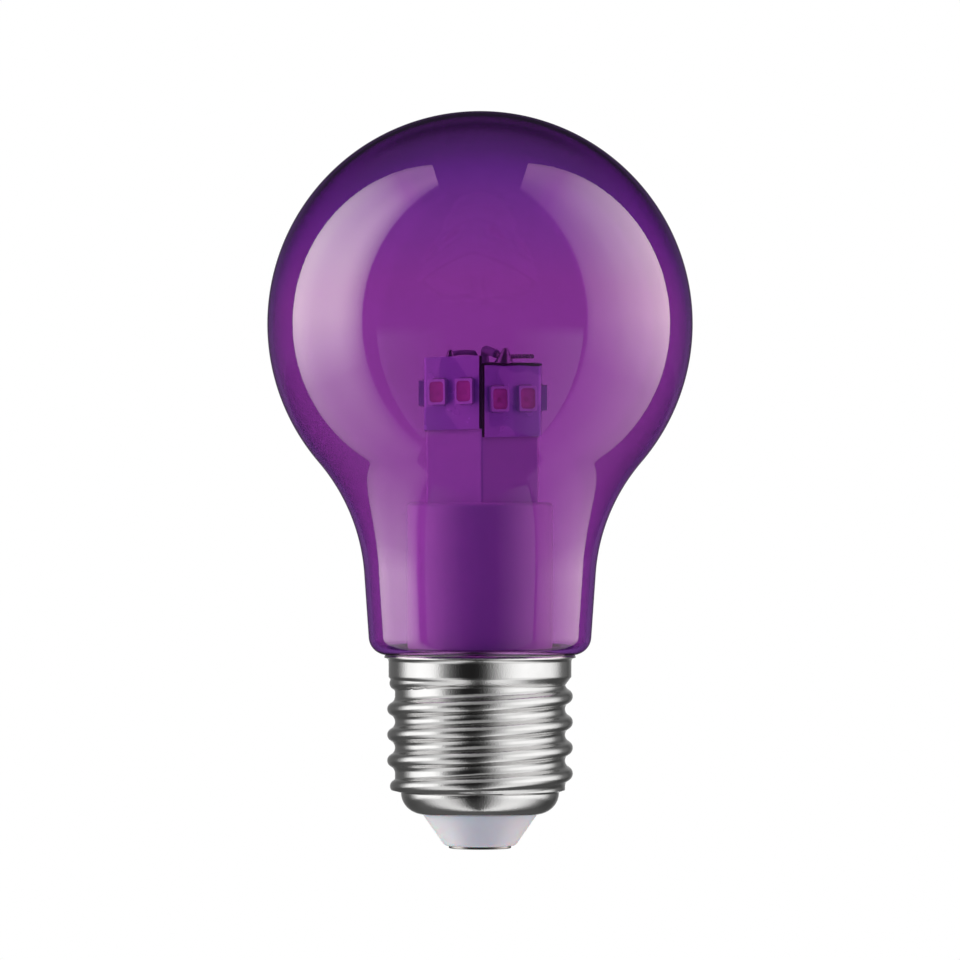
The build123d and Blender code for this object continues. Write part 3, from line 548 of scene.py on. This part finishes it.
def glass_outline(inset):
    """Points from the crown to the collar's open end, on the glass outline taken inwards by inset."""
    foot = (CREST_RADIUS - COLLAR_STEP + NECK_OVERHANG, RIM_Z + NECK_CORNER_RADIUS)
    corner = (foot[0] - NECK_CORNER_RADIUS / math.cos(NECK_TAPER), foot[1])
    shoulder = (
        foot[0] + SHOULDER_RADIUS * math.cos(NECK_TAPER) + NECK_LENGTH * math.sin(NECK_TAPER),
        foot[1] - SHOULDER_RADIUS * math.sin(NECK_TAPER) + NECK_LENGTH * math.cos(NECK_TAPER),
    )
    rise = math.sqrt((GLOBE_RADIUS + SHOULDER_RADIUS) ** 2 - shoulder[0] ** 2)
    join = -math.atan2(rise, shoulder[0])
    head = arc((0, shoulder[1] + rise), GLOBE_RADIUS - inset, math.pi / 2 - CROWN_GAP, join, HEAD_STEPS)
    bend = arc(shoulder, SHOULDER_RADIUS + inset, math.pi + join, math.pi - NECK_TAPER, BEND_STEPS)
    tuck = arc(corner, NECK_CORNER_RADIUS - inset, -NECK_TAPER, -math.pi / 2, TUCK_STEPS)
    collar = GLASS_COLLAR_RADIUS - inset
    return head + bend[1:] + tuck + [(collar, RIM_Z + inset), (collar, RIM_Z - GLASS_COLLAR_LENGTH)]


rings = glass_outline(0) + glass_outline(GLASS_WALL)[::-1]
vertices, faces = lathe(rings, GLASS_SEGMENTS)
# The last ring meets the first one at the crown through the wall: cap both with a pole instead
last = (len(rings) - 1) * GLASS_SEGMENTS
faces = faces[:last]
crown_out, crown_in = len(vertices), len(vertices) + 1
vertices += [(0, 0, CROWN_Z), (0, 0, CROWN_Z - GLASS_WALL)]
for step in range(GLASS_SEGMENTS):
    side = (step + 1) % GLASS_SEGMENTS
    faces.append((crown_out, side, step))
    faces.append((crown_in, last + step, last + side))
faces = [face[::-1] for face in faces]
glass = piece("glass_envelope", vertices, faces, GLASS, "tinted_glass", ("glass_bulb",))

# Screw shell: rolled sheet with the rounded thread worked out point by point

ROOT_RADIUS = CREST_RADIUS - THREAD_DEPTH
ARC_ANGLE = 2 * math.atan(2 * THREAD_DEPTH / THREAD_PITCH)
ARC_RADIUS = THREAD_PITCH / (4 * math.sin(ARC_ANGLE))
COLLAR_RADIUS = CREST_RADIUS - COLLAR_STEP
CUP_RADIUS = ROOT_RADIUS - CUP_STEP
MOUTH_RADIUS = CUP_RADIUS - CUP_CORNER_RADIUS
ZONE_BOTTOM_Z = CAP_BOTTOM_Z + CUP_CORNER_RADIUS + CUP_STEP_SLOPE
RIDGE_START_Z = ZONE_BOTTOM_Z - THREAD_START_DROP
COLLAR_BOTTOM_Z = RIDGE_START_Z + (THREAD_TURNS - 0.25) * THREAD_PITCH
FLARE_BOTTOM_Z = RIM_Z - RIM_LIP - RIM_FLARE


def ridge_radius(height, angle):
    """How far out the thread's ridge stands at a height and an angle."""
    best = 0.0
    place = (height - RIDGE_START_Z) / THREAD_PITCH - angle / (2 * math.pi)
    for turn_number in (math.floor(place), math.ceil(place)):
        turn = turn_number + angle / (2 * math.pi)
        away = abs(place - turn_number) * THREAD_PITCH
        share = min(1.0, FADE_IN + turn / FADE_IN_TURNS, FADE_OUT + (THREAD_TURNS - turn) / FADE_OUT_TURNS)
        if share <= 0 or away > THREAD_PITCH / 2 + PITCH_SLACK:
            continue
        if away < ARC_RADIUS * math.sin(ARC_ANGLE):
            reach = CREST_RADIUS - ARC_RADIUS + math.sqrt(ARC_RADIUS**2 - away**2)
        else:
            drop = math.sqrt(max(0, ARC_RADIUS**2 - (THREAD_PITCH / 2 - away) ** 2))
            reach = ROOT_RADIUS + ARC_RADIUS - drop
        best = max(best, reach - (1 - share) * THREAD_DEPTH)
    return best


def shell_rings(inset):
    """Rings from the mouth up to the rim, on the cap's outline taken inwards by inset."""
    centre = (MOUTH_RADIUS, CAP_BOTTOM_Z + CUP_CORNER_RADIUS)
    cup = arc(centre, CUP_CORNER_RADIUS - inset, -math.pi / 2, 0, CUP_STEPS)
    low = ZONE_BOTTOM_Z
    high = COLLAR_BOTTOM_Z - COLLAR_SLOPE
    zone = [(ROOT_RADIUS - inset, low + (high - low) * i / THREAD_STEPS) for i in range(THREAD_STEPS + 1)]
    widening = COLLAR_RADIUS - ROOT_RADIUS
    slope = [
        (ROOT_RADIUS - inset + widening * i / SLOPE_STEPS, high + COLLAR_SLOPE * i / SLOPE_STEPS)
        for i in range(1, SLOPE_STEPS + 1)
    ]
    straight = FLARE_BOTTOM_Z - COLLAR_BOTTOM_Z
    collar = [
        (COLLAR_RADIUS - inset, COLLAR_BOTTOM_Z + straight * i / COLLAR_STEPS) for i in range(1, COLLAR_STEPS)
    ]
    centre = (COLLAR_RADIUS + RIM_FLARE - inset, FLARE_BOTTOM_Z)
    flare = arc(centre, RIM_FLARE, math.pi, math.pi / 2, FLARE_STEPS)
    return cup + zone + slope + collar + flare


outer_rings = shell_rings(0)
inner_rings = shell_rings(CAP_WALL)
lip_radius = COLLAR_RADIUS + RIM_FLARE
lip_top = [
    (lip_radius, RIM_Z - 0.5 * RIM_LIP), (lip_radius - LIP_BEVEL, RIM_Z), (lip_radius - CAP_WALL, RIM_Z),
]
shell_outline = outer_rings + lip_top + inner_rings[::-1]
outer_count = len(outer_rings)
inner_start = outer_count + len(lip_top)


def shell_radius(index, radius, height, angle):
    """The ring's radius, pushed out where the thread's ridge stands further out."""
    in_lip = outer_count <= index < inner_start
    if height < ZONE_BOTTOM_Z - HEIGHT_SLACK or height > FLARE_BOTTOM_Z or in_lip:
        return radius
    inset = 0 if index < outer_count else CAP_WALL
    return max(radius, ridge_radius(height, angle) - inset)


vertices, faces = lathe(shell_outline, SHELL_SEGMENTS, shell_radius)
shell = piece("threaded_shell", vertices, faces, PLATED, "plated_steel", ("screw_shell",), sharp=50)

# Led details: a lead frame with a gap and a chip under each resin window


def plate(left_right, bottom_top, low_high, place, shape):
    """Adds a thin plate, given in mm across, up and outwards, to a shape's vertices and faces."""
    vertices, faces = shape
    (x0, x1), (y0, y1) = left_right, bottom_top
    start = len(vertices)
    for z in low_high:
        for x, y in ((x0, y0), (x1, y0), (x1, y1), (x0, y1)):
            vertices.append(place @ Vector((x * MM, y * MM, z * MM)))
    for a, b, c, d in ((0, 3, 2, 1), (4, 5, 6, 7), (0, 1, 5, 4), (1, 2, 6, 5), (2, 3, 7, 6), (3, 0, 4, 7)):
        faces.append((start + a, start + b, start + c, start + d))


def facet_frame(number):
    """The directions outwards from the column's facet of this number, and along it to the right."""
    angle = COLUMN_TURN - math.pi / 2 + half_facet + 2 * half_facet * number
    out = Vector((math.cos(angle), math.sin(angle), 0))
    return out, Vector((-out.y, out.x, 0))


half_facet = math.pi / FACETS
lead_frames, chips, terminals = ([], []), ([], []), ([], [])
for number in range(1, LEDS + 1):
    low, high = (Vector(corner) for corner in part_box(f"led_window_{number:02d}"))
    out, along = facet_frame((number - 1) // LEDS_PER_FACET)
    centre = (low + high) / 2 - out * FRAME_DEPTH * MM
    turned = Matrix((along, Vector((0, 0, 1)), out)).transposed().to_4x4()
    place = Matrix.Translation(centre) @ turned
    half_w, half_h = FRAME_WIDE / 2, FRAME_HIGH / 2
    split = half_h - FRAME_TOP_PART
    plate((-half_w, half_w), (-half_h, split), (0.0, FRAME_THICK), place, lead_frames)
    plate((-half_w, half_w), (split + FRAME_GAP, half_h), (0.0, FRAME_THICK), place, lead_frames)
    chip_up = (CHIP_BOTTOM, CHIP_BOTTOM + CHIP_SIDE)
    plate((-CHIP_SIDE / 2, CHIP_SIDE / 2), chip_up, (FRAME_THICK, CHIP_LEVEL), place, chips)
    package_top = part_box(f"led_package_{number:02d}")[1][2]
    above = Vector((centre.x, centre.y, package_top)) - out * TERMINAL_DEPTH * MM
    for left in TERMINALS_LEFT:
        across = (left, left + TERMINAL_WIDE)
        plate(across, TERMINAL_UP, TERMINAL_OUT, Matrix.Translation(above) @ turned, terminals)
piece("terminal_solder", *terminals, SOLDER, "solder")
piece("lead_frames", *lead_frames, LEAD_FRAME, "solder")
piece("led_chips", *chips, CHIP, "led_body")

# Painted shade: dark beads along the seam of the strip and the top edge of its lowest facet


def bead(points, out):
    """A closed rounded bead along points, wide across its path and thin along the way out."""
    vertices, faces = [], []
    for index, point in enumerate(points):
        before, after = points[max(0, index - 1)], points[min(len(points) - 1, index + 1)]
        across = (after - before).normalized().cross(out).normalized()
        size = SHADE_BEAD_END if index in (0, len(points) - 1) else 1.0
        for step in range(SHADE_BEAD_SIDES):
            angle = 2 * math.pi * step / SHADE_BEAD_SIDES
            wide, thick = SHADE_BEAD_WIDE * size * math.cos(angle), SHADE_BEAD_THICK * size * math.sin(angle)
            vertices.append(point + across * wide + out * thick)
    for index in range(len(points) - 1):
        for step in range(SHADE_BEAD_SIDES):
            side = (step + 1) % SHADE_BEAD_SIDES
            low, high = index * SHADE_BEAD_SIDES, (index + 1) * SHADE_BEAD_SIDES
            faces.append((low + step, low + side, high + side, high + step))
    faces.append(tuple(range(SHADE_BEAD_SIDES))[::-1])
    faces.append(tuple(len(vertices) - SHADE_BEAD_SIDES + step for step in range(SHADE_BEAD_SIDES)))
    return vertices, faces


out, along = facet_frame(0)
facet = Vector((COLUMN_OFFSET, 0, 0)) + out * (STRIP_REACH + SHADE_BEAD_STAND)
half_width = STRIP_REACH * math.tan(half_facet)
strip_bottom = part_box("circuit_strip")[0][2]
top = strip_bottom + STRIP_HEIGHT
bottom = strip_bottom + SEAM_BOTTOM
seam = [
    facet - along * half_width + Vector((0, 0, bottom + (top - bottom) * i / SEAM_STEPS))
    for i in range(SEAM_STEPS + 1)
]
edge = [
    facet + along * half_width * (EDGE_OVERRUN * i / EDGE_STEPS - 1)
    + Vector((0, 0, top + WAVE_HEIGHT * math.sin(WAVE_STEP * i)))
    for i in range(EDGE_STEPS + 1)
]
# Both beads are painted shade in the black tape colour, where the seam and the strip's back fall dark.
for name, points in (("tape_seam", seam), ("tape_fold", edge)):
    piece(name, *bead(points, out), PAINTED_SHADE_TAPE, "dark_tape", sharp=60)

# Studio


def stage_mesh(name, vertices, faces, material):
    """A mesh of the studio, which is no part of the bulb."""
    mesh = bpy.data.meshes.new(name)
    mesh.from_pydata(vertices, [], faces)
    mesh.materials.append(material)
    made = bpy.data.objects.new(name, mesh)
    bpy.context.scene.collection.objects.link(made)
    return made


def tent_light():
    """The tent's glow: transparent to light, with a level by azimuth that changes with the height."""
    shader = Shader("tent_light")
    add, join = shader.add, shader.join
    away = add("ShaderNodeVectorMath", operation="NORMALIZE")
    join(shader.coordinates, away.inputs[0])
    place = add("ShaderNodeSeparateXYZ")
    join(away.outputs[0], place.inputs[0])
    front = add("ShaderNodeMath", operation="MULTIPLY")
    front.inputs[1].default_value = -1
    join(place.outputs["Y"], front.inputs[0])
    azimuth = add("ShaderNodeMath", operation="ARCTAN2")
    join(place.outputs["X"], azimuth.inputs[0])
    join(front.outputs[0], azimuth.inputs[1])
    level, upwards, downwards = (
        profile(add, join, azimuth.outputs[0], [(math.radians(a), v) for a, v in stops], TENT_BRIGHTEST)
        for stops in (TENT_LEVEL, TENT_UPWARDS, TENT_DOWNWARDS)
    )
    for other, (low, high) in ((upwards, TENT_TURNS_UP), (downwards, TENT_TURNS_DOWN)):
        share = add("ShaderNodeMapRange", interpolation_type="SMOOTHSTEP")
        share.inputs["From Min"].default_value = low
        share.inputs["From Max"].default_value = high
        join(place.outputs["Z"], share.inputs["Value"])
        mix = add("ShaderNodeMix", data_type="FLOAT")
        join(share.outputs["Result"], mix.inputs["Factor"])
        join(level, mix.inputs["A"])
        join(other, mix.inputs["B"])
        level = mix.outputs["Result"]
    light = add("ShaderNodeEmission")
    join(level, light.inputs["Strength"])
    return lamp(shader, light)


def upright(front_edge, rear_edge, low, high):
    """The corners of an upright card between two places on the ground."""
    return [(*front_edge, low), (*rear_edge, low), (*rear_edge, high), (*front_edge, high)]


def lights_only(light, thing, state):
    """Lets a light reach one thing alone, or all but that thing."""
    receivers = bpy.data.collections.new(f"{light.name}_receivers")
    receivers.objects.link(thing)
    receivers.collection_objects[0].light_linking.link_state = state
    light.light_linking.receiver_collection = receivers


def hide_from_all_but_gloss(made):
    """Leaves a light to mirror reflections alone."""
    made.visible_camera = made.visible_transmission = made.visible_diffuse = made.visible_shadow = False


CARD_FACE = [(0, 1, 2, 3)]
for side, word, box, across in ((-1, "left", LEFT_BOX, LEFT_ACROSS), (1, "right", RIGHT_BOX, RIGHT_ACROSS)):
    light = glow(f"{word}_light", box["level"], box["colour"], across, BOX_UP)
    x = side * SOFTBOX_DISTANCE
    corners = upright((x, box["front"]), (x, box["rear"]), SOFTBOX_BOTTOM, SOFTBOX_TOP)
    softbox = stage_mesh(f"{word}_softbox", corners, CARD_FACE, light)
    softbox.visible_camera = False
    lights_only(softbox, shell, "EXCLUDE")

for side, word, level in zip((-1, 1), ("left", "right"), REFLECTOR_LEVELS):
    inner, outer = ((side * x, y) for x, y in (REFLECTOR_INNER, REFLECTOR_OUTER))
    light = glow(f"{word}_reflector_light", level, (1, 1, 1), REFLECTOR_ACROSS, REFLECTOR_UP)
    corners = upright(inner, outer, REFLECTOR_UP[0][0], REFLECTOR_UP[-1][0])
    reflector = stage_mesh(f"{word}_reflector", corners, CARD_FACE, light)
    hide_from_all_but_gloss(reflector)
    lights_only(reflector, glass, "INCLUDE")

tent_angles = [math.pi * (step / TENT_RINGS - 0.5) for step in range(TENT_RINGS + 1)]
tent_outline = [(TENT_RADIUS * max(0.001, math.cos(a)), TENT_RADIUS * math.sin(a)) for a in tent_angles]
vertices, faces = lathe(tent_outline, TENT_SEGMENTS)
tent = stage_mesh("light_tent", vertices, faces[: TENT_RINGS * TENT_SEGMENTS], tent_light())
hide_from_all_but_gloss(tent)
lights_only(tent, shell, "INCLUDE")


def pale_floor():
    """White to the camera and through the glass, shaded by the object, and dim where gloss mirrors it."""
    shader = Shader("pale_floor")
    path = shader.add("ShaderNodeLightPath")
    shade = shader.add("ShaderNodeBsdfDiffuse")
    shade.inputs["Color"].default_value = (*[FLOOR_GREY] * 3, 1)
    shine = shader.add("ShaderNodeEmission")
    level = shader.add("ShaderNodeMix", data_type="FLOAT")
    level.inputs["A"].default_value = FLOOR_LEVEL
    level.inputs["B"].default_value = 1.0
    straight = straight_through(shader.add, shader.join)
    seen = shader.add("ShaderNodeMath", operation="MAXIMUM")
    shader.join(path.outputs["Is Camera Ray"], seen.inputs[0])
    shader.join(straight, seen.inputs[1])
    shader.join(seen.outputs[0], level.inputs["Factor"])
    white = shader.add("ShaderNodeMix", data_type="RGBA")
    white.inputs[6].default_value = (1, 1, 1, 1)
    white.inputs[7].default_value = (*FLOOR_WHITE, 1)
    shader.join(seen.outputs[0], white.inputs["Factor"])
    shader.join(white.outputs[2], shine.inputs["Color"])
    shader.join(level.outputs["Result"], shine.inputs["Strength"])
    lit = shader.add("ShaderNodeAddShader")
    shader.join(shade.outputs["BSDF"], lit.inputs[0])
    shader.join(shine.outputs["Emission"], lit.inputs[1])
    dim = shader.add("ShaderNodeEmission")
    inner = shader.add("ShaderNodeMix", data_type="RGBA")
    inner.inputs[7].default_value = (*LEVEL_IN_GLASS, 1)
    away = shader.add("ShaderNodeVectorMath", operation="LENGTH")
    shader.join(shader.coordinates, away.inputs[0])
    shader.join(path.outputs["Is Transmission Ray"], inner.inputs["Factor"])
    shader.join(profile(shader.add, shader.join, away.outputs["Value"], FLOOR_IN_GLOSS), inner.inputs[6])
    shader.join(inner.outputs[2], dim.inputs["Color"])
    mix = shader.add("ShaderNodeMixShader")
    mirrored = shader.add("ShaderNodeMath", operation="MAXIMUM")
    shader.join(path.outputs["Is Glossy Ray"], mirrored.inputs[0])
    shader.join(path.outputs["Is Transmission Ray"], mirrored.inputs[1])
    only_gloss = shader.add("ShaderNodeMath", operation="SUBTRACT", use_clamp=True)
    shader.join(mirrored.outputs[0], only_gloss.inputs[0])
    shader.join(straight, only_gloss.inputs[1])
    shader.join(only_gloss.outputs[0], mix.inputs["Fac"])
    shader.join(lit.outputs["Shader"], mix.inputs[1])
    shader.join(dim.outputs["Emission"], mix.inputs[2])
    shader.join(mix.outputs["Shader"], shader.output.inputs["Surface"])
    return shader.material


corners = [(x * FLOOR_REACH, y * FLOOR_REACH, -FLOOR_DROP) for x, y in ((-1, -1), (1, -1), (1, 1), (-1, 1))]
stage_mesh("floor", corners, CARD_FACE, pale_floor())

world = bpy.data.worlds.new("studio")
bpy.context.scene.world = world
world.use_nodes = True
tree = world.node_tree
tree.nodes.clear()


def world_node(kind, **values):
    """A new world node of a type, with its settings."""
    node = tree.nodes.new(kind)
    for key, value in values.items():
        setattr(node, key, value)
    return node


def world_join(start, end):
    """Links an output to an input in the world."""
    tree.links.new(start, end)


def world_range(source, low, high, at_low, at_high):
    """A number that turns smoothly from one value to another as a source goes from low to high."""
    spread = world_node("ShaderNodeMapRange", interpolation_type="SMOOTHSTEP")
    for key, value in (("From Min", low), ("From Max", high), ("To Min", at_low), ("To Max", at_high)):
        spread.inputs[key].default_value = value
    world_join(source, spread.inputs["Value"])
    return spread.outputs["Result"]


def world_math(operation, first, second=0):
    """The result of a sum on sockets or plain numbers."""
    node = world_node("ShaderNodeMath", operation=operation)
    for socket, value in zip(node.inputs, (first, second)):
        if isinstance(value, (int, float)):
            socket.default_value = value
        else:
            world_join(value, socket)
    return node.outputs[0]


def world_choice(switch, otherwise, chosen):
    """One colour where a switch is on, and the other elsewhere."""
    node = world_node("ShaderNodeMix", data_type="RGBA")
    world_join(switch, node.inputs["Factor"])
    for socket, value in ((node.inputs[6], otherwise), (node.inputs[7], chosen)):
        if isinstance(value, tuple):
            socket.default_value = value
        else:
            world_join(value, socket)
    return node.outputs[2]


direction = world_node("ShaderNodeSeparateXYZ")
world_join(world_node("ShaderNodeTexCoord").outputs["Generated"], direction.inputs["Vector"])
across, behind, height = (direction.outputs[axis] for axis in "XYZ")
sideways = world_math("ABSOLUTE", across)
low_edge = world_range(height, *WINDOW_UP, WINDOW_LEVEL, 0.0)
side_edge = world_range(sideways, *WINDOW_ACROSS, 1.0, 0.0)
window = world_math("MULTIPLY", low_edge, side_edge)
window = world_math("MULTIPLY", window, world_range(behind, *WINDOW_BEHIND, 0.0, 1.0))
far_back = world_range(behind, *STUDIO_BACK_BEHIND, 0.0, STUDIO_BACK)
far_back = world_math("MULTIPLY", far_back, world_range(height, *STUDIO_BACK_UP, 1.0, 0.0))
backdrop = world_math("ADD", world_math("ADD", window, far_back), STUDIO_DARK)
path = world_node("ShaderNodeLightPath")
in_front = world_range(behind, *FILL_IN_FRONT, 1.0, 0.0)
in_front = world_math("MULTIPLY", in_front, path.outputs["Is Diffuse Ray"])
through_glass, through_sides, in_glass = (
    profile(world_node, world_join, height, stops)
    for stops in (BACKDROP_UP, BACKDROP_SIDES_UP, STUDIO_IN_GLASS)
)
through_glass = world_choice(world_range(sideways, *BACKDROP_SIDES, 0.0, 1.0), through_glass, through_sides)
colour = world_choice(path.outputs["Is Transmission Ray"], backdrop, in_glass)
colour = world_choice(in_front, colour, (*FRONT_FILL, 1))
colour = world_choice(straight_through(world_node, world_join, 1), colour, through_glass)
colour = world_choice(path.outputs["Is Camera Ray"], colour, (1, 1, 1, 1))
background = world_node("ShaderNodeBackground")
world_join(colour, background.inputs["Color"])
world_join(background.outputs["Background"], world_node("ShaderNodeOutputWorld").inputs["Surface"])

# Camera

camera_data = bpy.data.cameras.new("camera")
camera_data.sensor_width = SENSOR_WIDTH
camera_data.lens = SENSOR_WIDTH * CAMERA_DISTANCE / FRAME_WIDTH
camera_data.clip_start, camera_data.clip_end = 0.01, 50
camera = bpy.data.objects.new("camera", camera_data)
bpy.context.scene.collection.objects.link(camera)
camera.location = (0, -CAMERA_DISTANCE, CAMERA_HEIGHT)
camera.rotation_euler = (math.pi / 2, 0, 0)
bpy.context.scene.camera = camera

bpy.context.scene.view_settings.view_transform = "Standard"
